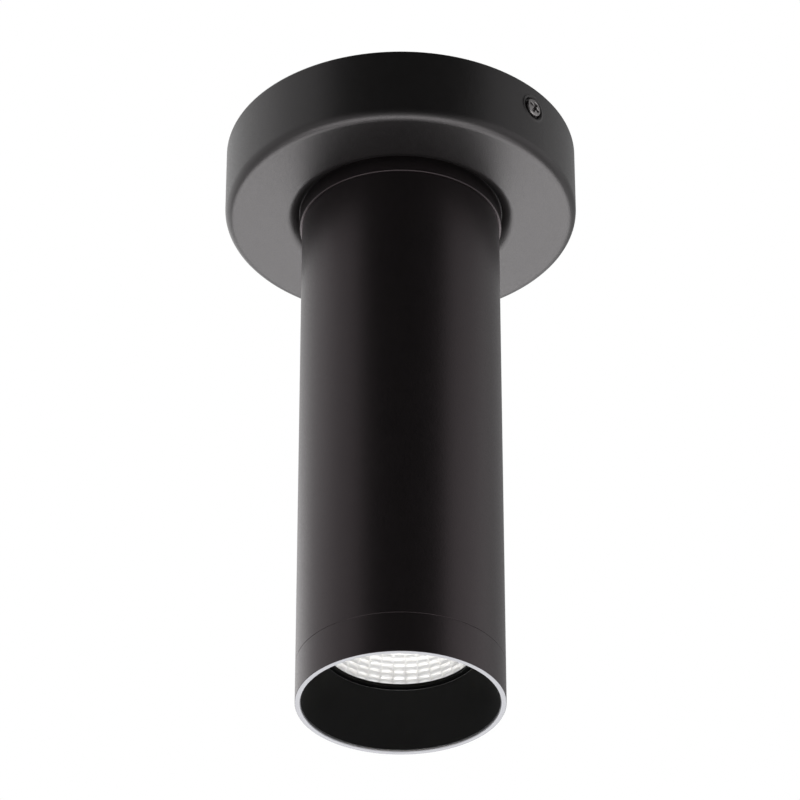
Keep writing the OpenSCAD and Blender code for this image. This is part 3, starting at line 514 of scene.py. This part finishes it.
@dataclass
class CeilingCup:
    """The shallow cup on the ceiling, with a pressed dimple for each of its two side screws.

    All sizes are in millimetres. Those that begin with dimple, fade and bead belong to a dimple and the low
    bead round it, those with seat to the seat that is pressed in round the cap, and those with head, shank
    and recess to a screw.
    """

    wall: float = 1.5
    bend: float = 3.0
    rim: float = 0.2
    hole_r: float = 5.2
    screw_drop: float = 7.75
    dimple_depth: float = 0.9
    dimple_floor_r: float = 3.1
    dimple_edge_r: float = 3.7
    dimple_steps: int = 46
    dimple_back_steps: int = 24
    fade_start: float = 1.0
    fade_end: float = 0.2
    bead: float = 0.24
    bead_r: float = 4.1
    bead_w: float = 0.35
    seat_depth: float = 2.5
    seat_gap: float = 0.3
    seat_slope: float = 4.0
    seat_margin: float = 0.3
    seat_steps: int = 24
    head_r: float = 2.8
    head_h: float = 1.6
    head_crown: float = 0.15
    head_edge: float = 0.3
    head_foot: float = 0.12
    head_segments: int = 160
    shank_r: float = 1.5
    shank_l: float = 7.0
    shank_chamfer: float = 0.4
    shank_neck: float = 0.02
    recess_r: float = 2.05
    recess_half_w: float = 0.6
    recess_depth: float = 1.5
    recess_slope: float = 0.4
    recess_inset: float = 0.1
    recess_fall: float = 0.15
    recess_margin: float = 0.2
    recess_steps: int = 40
    recess_turn: float = math.radians(25)
    plain_steps: int = 84
    radius: float = field(default_factory=lambda: node_radius("canopy"))
    height: float = field(default_factory=lambda: node_depths("canopy")[1])

    def window(self) -> float:
        """Half the width of the square that holds a dimple and its bead, gone three widths out."""
        return self.bead_r + 3 * self.bead_w

    def outline(self) -> np.ndarray:
        """Draws the sheet's outline, with points closer together where it is pressed.

        Round the cap the sheet is pressed up by seat_depth (1 - t)^2, with t from 0 to 1 down the slope.

        Returns:
            Points of [radius, z] in metres, one row each.
        """
        inner_r = self.radius - self.wall
        floor = self.height - self.wall
        top, bottom = self.screw_drop - self.window(), self.screw_drop + self.window()
        outer_z = np.concatenate([np.linspace(self.rim, top, 6)[:-1],
                                  np.linspace(top, bottom, self.dimple_steps),
                                  np.linspace(bottom, self.height - self.bend, 10)[1:]])
        inner_z = np.concatenate([np.linspace(floor - self.bend + self.wall, bottom, 6)[:-1],
                                  np.linspace(bottom, top, self.dimple_back_steps),
                                  np.linspace(top, self.rim, 4)[1:]])
        turn = np.linspace(0, math.pi / 2, 9)[1:-1]
        inner_bend = self.bend - self.wall
        outer_arc = np.stack([self.radius - self.bend + self.bend * np.cos(turn),
                              self.height - self.bend + self.bend * np.sin(turn)], -1)
        inner_arc = np.stack([inner_r - inner_bend + inner_bend * np.cos(turn[::-1]),
                              floor - inner_bend + inner_bend * np.sin(turn[::-1])], -1)
        seat_r = node_radius("top_cap") + self.seat_gap
        seat_start = seat_r - self.seat_margin
        seat_end = seat_r + self.seat_slope + self.seat_margin
        flat_r = np.concatenate([np.linspace(self.hole_r + self.rim, seat_start, 8)[:-1],
                                 np.linspace(seat_start, seat_end, self.seat_steps),
                                 np.linspace(seat_end, inner_r - inner_bend, 8)[1:]])
        share = np.clip((flat_r - seat_r) / self.seat_slope, 0, 1)
        pressed = self.seat_depth * (1 - share) ** 2
        inside = np.stack([flat_r, floor - pressed], -1)
        flat_r[-1] = self.radius - self.bend
        under = np.stack([flat_r, self.height - pressed], -1)[::-1]
        hole_top, hole_bottom = floor - self.seat_depth, self.height - self.seat_depth
        edge = np.array([[self.hole_r, hole_bottom - self.rim], [self.hole_r, hole_top + self.rim]])
        lip = np.array([[inner_r + self.rim, 0.0], [self.radius - self.rim, 0.0]])
        points = np.concatenate([
            np.stack([np.full(len(outer_z), self.radius), outer_z], -1), outer_arc, under, edge, inside,
            inner_arc, np.stack([np.full(len(inner_z), inner_r), inner_z], -1), lip])
        return points * np.array([MM, -MM])

    def angles(self) -> np.ndarray:
        """Spaces the steps round the cup, 0.2 mm apart at the dimples and 2 mm elsewhere.

        Returns:
            The angles, in radians.
        """
        window = self.window() / self.radius
        fine = np.linspace(-window, window, self.dimple_steps)
        coarse = np.linspace(window, math.pi - window, self.plain_steps)[1:-1]
        return np.concatenate([fine, coarse, fine + math.pi, coarse + math.pi])

    def build_shell(self) -> bpy.types.Object:
        """Builds the cup: a turned sheet whose wall moves in by a smooth step round each screw.

        A low bead stands round the dimple: bead exp(-((d - bead_r) / bead_w)^2) at the distance d.

        Returns:
            The cup.
        """
        grid = turned_grid(self.outline(), self.angles())
        radius = np.linalg.norm(grid[..., :2], axis=-1)
        angle = np.arctan2(grid[..., 1], grid[..., 0])
        across = np.minimum(np.abs(angle), math.pi - np.abs(angle)) * self.radius * MM
        up = grid[..., 2] + self.screw_drop * MM
        distance = np.hypot(across, up) / MM
        pressed = self.dimple_depth * (1 - smooth_step(self.dimple_floor_r, self.dimple_edge_r, distance))
        pressed -= self.bead * np.exp(-((distance - self.bead_r) / self.bead_w) ** 2)
        inner_r = self.radius - self.wall
        on_wall = smooth_step((inner_r - self.fade_start) * MM, (inner_r - self.fade_end) * MM, radius)
        grid[..., :2] *= (1 - pressed * MM * on_wall / radius)[..., None]
        return grid_piece("ceiling_cup", [grid], [CUP_COAT], Body.LAMP, "canopy")

    def build_screws(self) -> bpy.types.Object:
        """Builds both side screws as one piece: shank, pan head and cross recess.

        The head's side ends in a quarter circle, and its top rises to the middle by crown (1 - (r / R)^2).
        The recess sinks it by a depth that falls off smoothly past the half width and the length of two
        crossed arms, and that is deepest in the middle.

        Returns:
            The two screws.
        """
        quarter = np.linspace(0, math.pi / 2, 6)[:-1]
        flat_r = self.head_r - self.head_edge
        side_r = flat_r + self.head_edge * np.cos(quarter)
        side_z = self.head_h - self.head_crown - self.head_edge * (1 - np.sin(quarter))
        r_top = np.concatenate([np.linspace(flat_r, self.recess_r + self.recess_margin, 6),
                                np.linspace(self.recess_r + self.recess_fall, 0.0, self.recess_steps)])
        r_dome = np.concatenate([side_r, r_top])
        z_dome = np.concatenate([side_z, self.head_h - self.head_crown * (r_top / flat_r) ** 2])
        shank = np.array([[0, -self.shank_l], [self.shank_r - self.shank_chamfer, -self.shank_l],
                          [self.shank_r, -self.shank_l + self.shank_chamfer],
                          [self.shank_r, -self.shank_neck], [self.shank_r + self.shank_neck, 0.0],
                          [self.head_r - self.head_foot, 0.0], [self.head_r, self.head_foot]])
        outline = np.concatenate([shank, np.stack([r_dome, z_dome], -1)]) * MM
        head = turned_grid(outline, even_angles(self.head_segments))
        x, y = head[..., 0] / MM, head[..., 1] / MM
        arms = [self._arm(x, y), self._arm(y, x)]
        middle = 1 - self.recess_slope * np.hypot(x, y) / self.recess_r
        depth = self.recess_depth * np.maximum(*arms) * middle
        on_dome = (np.arange(len(outline)) >= len(shank))[None, :]
        head[..., 2] -= depth * MM * on_dome
        turn = self.recess_turn
        u = head[..., 0] * math.cos(turn) - head[..., 1] * math.sin(turn)
        v = head[..., 0] * math.sin(turn) + head[..., 1] * math.cos(turn)
        base = (self.radius - self.dimple_depth) * MM
        out, side, up = base + head[..., 2], v, u - self.screw_drop * MM
        screws = [np.stack([way * out, way * side, up], -1) for way in (1, -1)]
        return grid_piece("cup_screws", screws, [BLACK_ZINC], Body.LAMP, "canopy_screws")

    def _arm(self, along: np.ndarray, across: np.ndarray) -> np.ndarray:
        """Finds which points lie in one arm of the cross.

        Args:
            along: Distances from the middle along the arm, in millimetres.
            across: Distances from the arm's middle line, in millimetres.

        Returns:
            1 inside the arm and 0 outside it, with a smooth fall between.
        """
        fall = self.recess_fall
        side = self.recess_half_w - self.recess_inset
        return ((1 - smooth_step(side, side + fall, np.abs(across)))
                * (1 - smooth_step(self.recess_r - fall, self.recess_r, np.abs(along))))

    def build(self) -> None:
        """Builds the cup and its screws."""
        self.build_shell()
        self.build_screws()


@dataclass
class Tube:
    """The cap's flange under the cup and the tube below it, in millimetres."""

    edge: float = 0.25
    inner_fillet: float = 0.3
    spigot_wall: float = 3.0
    bore_r: float = 5.05
    plate: float = 7.5
    segments: int = 240

    def build_cap(self) -> bpy.types.Object:
        """Builds the cap, a turned disc with a spigot that fills the tube's upper end.

        Returns:
            The cap.
        """
        top, bottom = node_depths("top_cap")
        flange_r = node_radius("top_cap")
        flange = node_depths("tube")[0]
        spigot_r = node_radius("tube") - TUBE_WALL - FIT
        inner_r = spigot_r - self.spigot_wall
        outline = rounded_outline([
            Corner(self.bore_r, top), Corner(flange_r, top), Corner(flange_r, flange, self.edge),
            Corner(spigot_r, flange, EDGE_BREAK), Corner(spigot_r, bottom), Corner(inner_r, bottom),
            Corner(inner_r, top + self.plate, self.inner_fillet), Corner(self.bore_r, top + self.plate)])
        grid = turned_grid(outline, even_angles(self.segments))
        return grid_piece("tube_cap", [grid], [TUBE_COAT], Body.LAMP, "top_cap")

    def build_tube(self) -> bpy.types.Object:
        """Builds the tube, a plain turned wall with fine rounded edges.

        Returns:
            The tube.
        """
        top, bottom = node_depths("tube")
        outer_r = node_radius("tube")
        inner_r = outer_r - TUBE_WALL
        outline = rounded_outline([Corner(inner_r, top), Corner(outer_r, top),
                                   Corner(outer_r, bottom, SOFT_EDGE), Corner(inner_r, bottom)])
        grid = turned_grid(outline, even_angles(self.segments))
        return grid_piece("lamp_tube", [grid], [TUBE_COAT], Body.LAMP, "tube")

    def build(self) -> None:
        """Builds the cap and the tube."""
        self.build_cap()
        self.build_tube()


@dataclass
class FrontRing:
    """The screwed front ring with its bare lip, and the matt black cone inside it, in millimetres."""

    wall: float = 1.6
    chamfer: float = 0.2
    lip_edge: float = 0.05
    shoulder: float = 2.5
    spigot_wall: float = 1.6
    cone_wall: float = 1.0
    cone_back: float = 0.1
    cone_edge: float = 0.04
    throat_r: float = 22.5
    throat_edge: float = 0.5
    skirt_fillet: float = 0.2
    segments: int = 240
    arc_steps: int = 5

    def build_ring(self) -> bpy.types.Object:
        """Builds the ring. Its lip is bare, from halfway round the outer mouth corner to the bore.

        Returns:
            The ring.
        """
        top, mouth = node_depths("front_ring")
        outer_r = node_radius("front_ring")
        seam = node_depths("tube")[1]
        spigot_r = node_radius("tube") - TUBE_WALL - FIT
        bore_r = outer_r - self.wall
        spigot_bore = spigot_r - self.spigot_wall
        corners = [
            Corner(spigot_r, top), Corner(spigot_r, seam, EDGE_BREAK), Corner(outer_r, seam, SOFT_EDGE),
            Corner(outer_r, mouth, SOFT_EDGE), Corner(bore_r + self.chamfer, mouth, self.lip_edge),
            Corner(bore_r, mouth - self.chamfer, self.lip_edge),
            Corner(bore_r, seam + self.shoulder, EDGE_BREAK),
            Corner(spigot_bore, seam + self.shoulder), Corner(spigot_bore, top)]
        outline = rounded_outline(corners, self.arc_steps)
        per_corner = self.arc_steps + 1
        outer_mouth, bore = 3, 5
        step = np.arange(len(outline))
        bare = (step >= (outer_mouth + 1) * per_corner - per_corner // 2) & (step < (bore + 1) * per_corner)
        grid = turned_grid(outline, even_angles(self.segments))
        return grid_piece("front_ring_shell", [grid], [TUBE_COAT, BARE_LIP], Body.RING, "front_ring",
                          bare.astype(int))

    def build_cone(self) -> bpy.types.Object:
        """Builds the cone, its flat top flange and the skirt that holds it in the ring.

        The arc at its throat, the outline's second corner, is glossier and a shade lighter: partly real
        gloss, partly a painted highlight line.

        Returns:
            The cone.
        """
        throat, edge = node_depths("baffle")
        skirt_r = node_radius("baffle")
        flange_r = node_radius("retainer_ring")
        slope = (skirt_r - self.throat_r) / (edge - throat)
        back = self.cone_wall + self.cone_back
        skirt_inner = skirt_r - self.cone_wall
        meets = throat + (skirt_inner - back - self.throat_r) / slope
        skirt_top = node_depths("tube")[1] + self.shoulder
        outline = rounded_outline([
            Corner(skirt_r, edge, self.cone_edge), Corner(self.throat_r, throat, self.throat_edge),
            Corner(flange_r, throat, EDGE_BREAK), Corner(flange_r, throat + self.cone_wall, EDGE_BREAK),
            Corner(self.throat_r + slope * self.cone_wall + back, throat + self.cone_wall, EDGE_BREAK),
            Corner(skirt_inner, meets, self.skirt_fillet), Corner(skirt_inner, skirt_top, EDGE_BREAK),
            Corner(skirt_r, skirt_top, EDGE_BREAK)])
        per_corner = self.arc_steps + 1
        step = np.arange(len(outline))
        # The throat's arc takes the lighter, glossier finish: a painted highlight line
        painted_highlight_edge = (step >= per_corner) & (step < 2 * per_corner - 1)
        grid = turned_grid(outline, even_angles(self.segments))
        return grid_piece("glare_cone", [grid], [MATT_MOULDED, MOULDED_PAINTED_HIGHLIGHT], Body.RING, "baffle",
                          painted_highlight_edge.astype(int))

    def build(self) -> None:
        """Builds the ring and the cone."""
        self.build_ring()
        self.build_cone()


@dataclass
class Optic:
    """The faceted reflector and the black ring that it stands on, in millimetres.

    The bright wall's radius is entry_r + (exit_r - entry_r) t^power, with t from 0 to 1 towards the exit.
    """

    facets: int = 36
    rows: int = 16
    patch: int = 5
    entry_r: float = 8.0
    exit_r: float = 21.8
    power: float = 0.72
    wall: float = 0.8
    flange: float = 1.0
    back_rise: float = 1.2
    pillow: float = 0.18
    segments: int = 200
    first_facet: float = math.radians(-1.8)

    def wall_radius(self, share: np.ndarray) -> np.ndarray:
        """Radius of the bright wall, share 0 at the light source and 1 at the exit."""
        return self.entry_r + (self.exit_r - self.entry_r) * share ** self.power

    def build_reflector(self) -> bpy.types.Object:
        """Builds the reflector.

        Inside, each facet is flat between four corners on the curved wall, by bilinear blending, and
        swells towards the axis by pillow (1 - a^2)(1 - b^2), with a and b from -1 to 1 across it.
        Outside, the same corners are moved out by the wall.

        Returns:
            The reflector.
        """
        entry, leave = node_depths("reflector")
        flange_r = node_radius("retainer_ring")
        turn = np.arange(self.facets * self.patch) / self.patch
        column, across = np.floor(turn), turn % 1
        fine = np.arange(self.rows * self.patch + 1) / self.patch
        row = np.minimum(np.floor(fine), self.rows - 1)
        down = fine - row
        step = 2 * math.pi / self.facets
        start = self.first_facet + column * step
        left = np.stack([np.cos(start), np.sin(start)], -1)
        right = np.stack([np.cos(start + step), np.sin(start + step)], -1)
        chord = left * (1 - across)[:, None] + right * across[:, None]
        upper, lower = self.wall_radius(row / self.rows), self.wall_radius((row + 1) / self.rows)
        radius = upper * (1 - down) + lower * down
        z = -(entry + (leave - entry) * fine / self.rows)
        swell = ((1 - (2 * across - 1) ** 2)[:, None] * (1 - (2 * down - 1) ** 2)[None, :]) * self.pillow
        inner_r = radius[None, :] - swell
        inner = np.concatenate([chord[:, None, :] * inner_r[..., None],
                                np.broadcast_to(z[None, :, None], (*inner_r.shape, 1))], -1)
        rim = np.array([[flange_r, -leave], [flange_r, -leave + self.flange],
                        [self.exit_r + self.wall, -leave + self.flange]])
        back_share = np.linspace(1, 0, self.rows + 1)[1:]
        back = np.stack([self.wall_radius(back_share) + self.wall,
                         -(entry + (leave - entry) * back_share)], -1)
        back[0, 1] = min(back[0, 1], -leave + self.flange + self.back_rise)
        outside = np.concatenate([rim, back])
        outer = np.concatenate([chord[:, None, :] * outside[None, :, :1],
                                np.broadcast_to(outside[None, :, 1:], (len(chord), len(outside), 1))], -1)
        grid = np.concatenate([inner, outer], 1) * MM
        return grid_piece("faceted_reflector", [grid], [BRIGHT_FACETS], Body.OPTIC, "reflector",
                          smooth=False)

    def build_retainer(self) -> bpy.types.Object:
        """Builds the black ring under the reflector.

        Returns:
            The ring.
        """
        top, bottom = node_depths("retainer_ring")
        outer_r = node_radius("retainer_ring")
        places = [(self.exit_r, top), (outer_r, top), (outer_r, bottom), (self.exit_r, bottom)]
        outline = rounded_outline([Corner(radius, depth, EDGE_BREAK) for radius, depth in places])
        grid = turned_grid(outline, even_angles(self.segments))
        # The seat's darker black is painted shade deep in the mouth
        return grid_piece("reflector_seat", [grid], [MOULDED_PAINTED_SHADE], Body.OPTIC, "retainer_ring")

    def build(self) -> None:
        """Builds the reflector and its ring."""
        self.build_reflector()
        self.build_retainer()


@dataclass
class InnerParts:
    """The CAD nodes that keep their own shape and only take a finish."""

    finishes: dict[str, Finish] = field(default_factory=lambda: {
        "mounting_bracket": ZINC_STEEL, "terminal_block": IVORY_POLYAMIDE, "terminal_screws": ZINC_STEEL,
        "terminal_block_screw": ZINC_STEEL, "earth_screw": BRASS, "earth_washer": BRASS, "nipple": BRASS,
        "nipple_nut": BRASS, "lock_washer": ZINC_STEEL, "nipple_bush": WHITE_ABS,
        "driver_bracket": ZINC_STEEL, "spacer_rods": ZINC_STEEL, "rod_top_screws": ZINC_STEEL,
        "rod_bottom_screws": ZINC_STEEL, "driver_case": WHITE_ABS, "driver_lid": WHITE_ABS,
        "driver_screws": ZINC_STEEL, "driver_board": GREEN_BOARD, "board_screws": ZINC_STEEL,
        "driver_transformer": YELLOW_TAPE, "driver_capacitors": BLUE_SLEEVE,
        "driver_terminals": IVORY_POLYAMIDE, "heat_sink": RAW_ALUMINIUM, "thermal_pad": BLUE_SILICONE,
        "led_board": WHITE_BOARD, "led_emitter": PHOSPHOR, "led_holder": WHITE_ABS,
        "holder_screws": ZINC_STEEL, "live_wire": BROWN_PVC, "neutral_wire": BLUE_PVC,
        "earth_wire": GREEN_YELLOW_PVC, "led_wires": RED_BLACK_SILICONE})

    def dress(self) -> None:
        """Gives each of these nodes its finish."""
        for name, finish in self.finishes.items():
            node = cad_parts[name]
            for holder in node.material_slots:
                holder.material = finish.material()
            log.info("%s: %s", name, finish.name)


@dataclass(frozen=True)
class Panel:
    """A flat lamp or card that faces the middle of the lamp tube.

    Attributes:
        name: Its name.
        azimuth: Where it stands, in degrees from the camera's side.
        elevation: Its elevation seen from the tube's middle, in degrees.
        distance: How far it is from there, in millimetres.
        width: Its width in millimetres.
        tall: Its height in millimetres.
    """

    name: str
    azimuth: float
    elevation: float
    distance: float
    width: float
    tall: float


@dataclass
class Studio:
    """The camera, the lamps, the white surroundings and the floor, in millimetres and degrees."""

    azimuth: float = 42.0
    camera_distance: float = 1034.6
    camera_drop: float = 770.3
    camera_pitch: float = 33.364
    clip_start: float = 10.0
    clip_end: float = 50000.0
    focal_pixels: float = 4179.4
    image_pixels: float = 800.0
    axis_column: float = 400.6
    sensor: float = 36.0
    floor_drop: float = 1900.0
    floor_side: float = 9000.0
    surroundings: float = 0.7
    middle_drop: float = 100.0

    def direction(self, azimuth: float) -> Vector:
        """Unit vector from the axis towards a camera at that azimuth."""
        angle = math.radians(azimuth)
        return Vector((math.sin(angle), -math.cos(angle), 0.0))

    def build_camera(self) -> None:
        """Places the camera where the photograph's outline puts it."""
        data = bpy.data.cameras.new("camera")
        data.sensor_width = self.sensor
        data.lens = self.focal_pixels * self.sensor / self.image_pixels
        data.clip_start = self.clip_start * MM
        data.clip_end = self.clip_end * MM
        camera = bpy.data.objects.new("camera", data)
        towards = self.direction(self.azimuth)
        right = Vector((-towards.y, towards.x, 0.0))
        reach = math.hypot(self.camera_distance, self.camera_drop)
        aside = (self.axis_column - self.image_pixels / 2) * reach / self.focal_pixels
        camera.location = (towards * self.camera_distance - right * aside
                           - Vector((0, 0, self.camera_drop))) * MM
        camera.rotation_euler = (math.radians(90 + self.camera_pitch), 0.0, math.radians(self.azimuth))
        bpy.context.scene.collection.objects.link(camera)
        bpy.context.scene.camera = camera

    def place(self, thing: bpy.types.Object, panel: Panel) -> None:
        """Puts a lamp or a card where its panel says and turns it towards the lamp tube's middle.

        Args:
            thing: The object.
            panel: Its place.
        """
        rise = math.radians(panel.elevation)
        away = self.direction(self.azimuth + panel.azimuth) * math.cos(rise) + Vector((0, 0, math.sin(rise)))
        thing.location = (away * panel.distance - Vector((0, 0, self.middle_drop))) * MM
        thing.rotation_euler = (-away).to_track_quat("-Z", "Y").to_euler()
        bpy.context.scene.collection.objects.link(thing)

    def add_softbox(self, panel: Panel, level: float) -> None:
        """Adds a soft rectangular lamp.

        Args:
            panel: Its place and size.
            level: Its brightness, where 1 is white.
        """
        data = bpy.data.lights.new(panel.name, "AREA")
        data.shape = "RECTANGLE"
        data.size = panel.width * MM
        data.size_y = panel.tall * MM
        data.energy = level * math.pi * data.size * data.size_y
        lamp = bpy.data.objects.new(panel.name, data)
        self.place(lamp, panel)
        lamp.visible_camera = False

    def build_lamps(self) -> None:
        """Adds three soft lamps.

        The one below draws the line along the cup's bend, the one low behind lights the cup's underside,
        and the one on the left lights the tube's edge.
        """
        self.add_softbox(Panel("front_softbox", azimuth=0, elevation=-75, distance=1300,
                               width=2200, tall=800), level=3.4)
        self.add_softbox(Panel("back_softbox", azimuth=174, elevation=-49, distance=1300,
                               width=1500, tall=1400), level=3.2)
        self.add_softbox(Panel("left_softbox", azimuth=-140, elevation=6, distance=1600,
                               width=1300, tall=1500), level=0.8)

    def add_card(self, panel: Panel, finish: Finish) -> None:
        """Stands a dark card round the object that only shows in reflections.

        Args:
            panel: Its place and size.
            finish: Its cloth.
        """
        half_w, half_t = panel.width / 2 * MM, panel.tall / 2 * MM
        mesh = bpy.data.meshes.new(panel.name)
        corners = [(-half_w, -half_t, 0), (half_w, -half_t, 0), (half_w, half_t, 0), (-half_w, half_t, 0)]
        mesh.from_pydata(corners, [], [(0, 1, 2, 3)])
        mesh.materials.append(finish.material())
        card = bpy.data.objects.new(panel.name, mesh)
        self.place(card, panel)
        for kind in ("camera", "diffuse", "transmission", "volume_scatter", "shadow"):
            setattr(card, "visible_" + kind, False)

    def build_cards(self) -> None:
        """Adds a black flag above the camera's side and thin scrims round the object.

        They shape the dark and light streaks that the black coat reflects.
        """
        self.add_card(Panel("front_flag", azimuth=3, elevation=25, distance=1000,
                            width=1750, tall=2600), FLAG_CLOTH)
        self.add_card(Panel("left_scrim", azimuth=-60, elevation=33, distance=1000,
                            width=700, tall=1500), THIN_SCRIM)
        self.add_card(Panel("right_scrim", azimuth=138, elevation=33, distance=1200,
                            width=1100, tall=1800), SCRIM)
        self.add_card(Panel("top_scrim", azimuth=75, elevation=55, distance=700,
                            width=560, tall=600), SCRIM)

    def build_world(self) -> None:
        """Makes the surroundings white to the camera and to reflections, and grey to soft light."""
        world = bpy.data.worlds.new("studio")
        bpy.context.scene.world = world
        world.use_nodes = True
        tree = world.node_tree
        tree.nodes.clear()
        path = add_node(tree, "LightPath")
        seen = add_node(tree, "Math", {"operation": "MAXIMUM"},
                        {0: path.outputs["Is Camera Ray"], 1: path.outputs["Is Glossy Ray"]})
        seen = add_node(tree, "Math", {"operation": "MAXIMUM"},
                        {0: seen.outputs["Value"], 1: path.outputs["Is Transmission Ray"]})
        level = add_node(tree, "MapRange", {"To Min": self.surroundings, "To Max": 1.0},
                         {"Value": seen.outputs["Value"]})
        back = add_node(tree, "Background", {"Color": (1.0, 1.0, 1.0, 1.0)},
                        {"Strength": level.outputs["Result"]})
        add_node(tree, "OutputWorld", {}, {"Surface": back.outputs["Background"]})

    def build_floor(self) -> None:
        """Lays a pale floor far below the lamp, with a slight paper grain."""
        half = self.floor_side / 2 * MM
        z = -self.floor_drop * MM
        mesh = bpy.data.meshes.new("floor")
        mesh.from_pydata([(-half, -half, z), (half, -half, z), (half, half, z), (-half, half, z)], [],
                         [(0, 1, 2, 3)])
        mesh.materials.append(FLOOR_PAPER.material())
        floor = bpy.data.objects.new("floor", mesh)
        bpy.context.scene.collection.objects.link(floor)

    def build(self) -> None:
        """Builds the whole studio."""
        self.build_camera()
        self.build_lamps()
        self.build_cards()
        self.build_world()
        self.build_floor()
        bpy.context.scene.view_settings.view_transform = "Standard"


def write_sizes() -> None:
    """Updates the view layer."""
    bpy.context.view_layer.update()


def main() -> None:
    """Builds the studio and the lamp's pieces in order."""
    logging.basicConfig(level=logging.INFO, format="%(message)s")
    for part in (Studio(), CeilingCup(), Tube(), FrontRing(), Optic()):
        part.build()
    InnerParts().dress()
    write_sizes()


if __name__ == "__main__":
    main()
